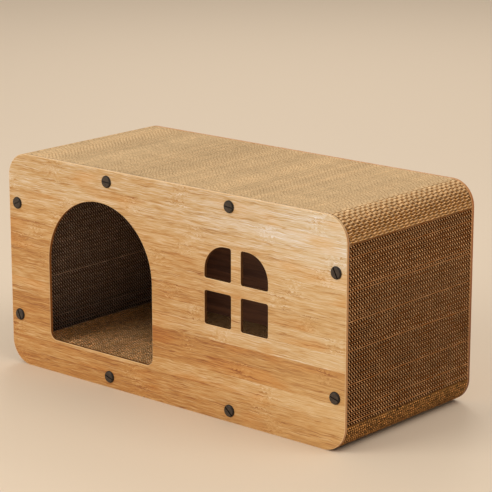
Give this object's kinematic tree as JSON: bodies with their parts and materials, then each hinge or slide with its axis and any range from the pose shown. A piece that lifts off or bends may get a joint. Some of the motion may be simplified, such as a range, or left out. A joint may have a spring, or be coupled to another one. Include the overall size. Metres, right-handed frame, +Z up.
{
  "type": "cat scratcher house",
  "caption": "Low rounded cabin for a cat: bamboo front with arched doorway and small window, ring of corrugated scratching pads and walls, bamboo back, all bolted through.",
  "frame": {"origin": "under the middle of the house, on the floor", "axes": "+X to the right along the front, -Y out of the doorway, +Z up"},
  "size_m": [0.592, 0.2688, 0.3],
  "materials": {
    "bamboo": "clear satin lacquer over horizontal laminated bamboo strips",
    "light_corrugated_board": "cut edges of light kraft corrugated board, matte",
    "dark_corrugated_board": "cut edges of dark brown corrugated board, matte",
    "bronzed_steel": "dark bronze plated steel, satin"
  },
  "bodies": {
    "root": {"front_panel": "bamboo", "back_panel": "bamboo", "top_pad": "light_corrugated_board", "bottom_pad": "light_corrugated_board", "left_wall": "dark_corrugated_board", "right_wall": "dark_corrugated_board", "bolt_top_left": "bronzed_steel", "bolt_top_right": "bronzed_steel", "bolt_right_upper": "bronzed_steel", "bolt_right_lower": "bronzed_steel", "bolt_bottom_right": "bronzed_steel", "bolt_bottom_left": "bronzed_steel", "bolt_left_lower": "bronzed_steel", "bolt_left_upper": "bronzed_steel", "sleeve_nuts": "bronzed_steel"}
  },
  "joints": []
}
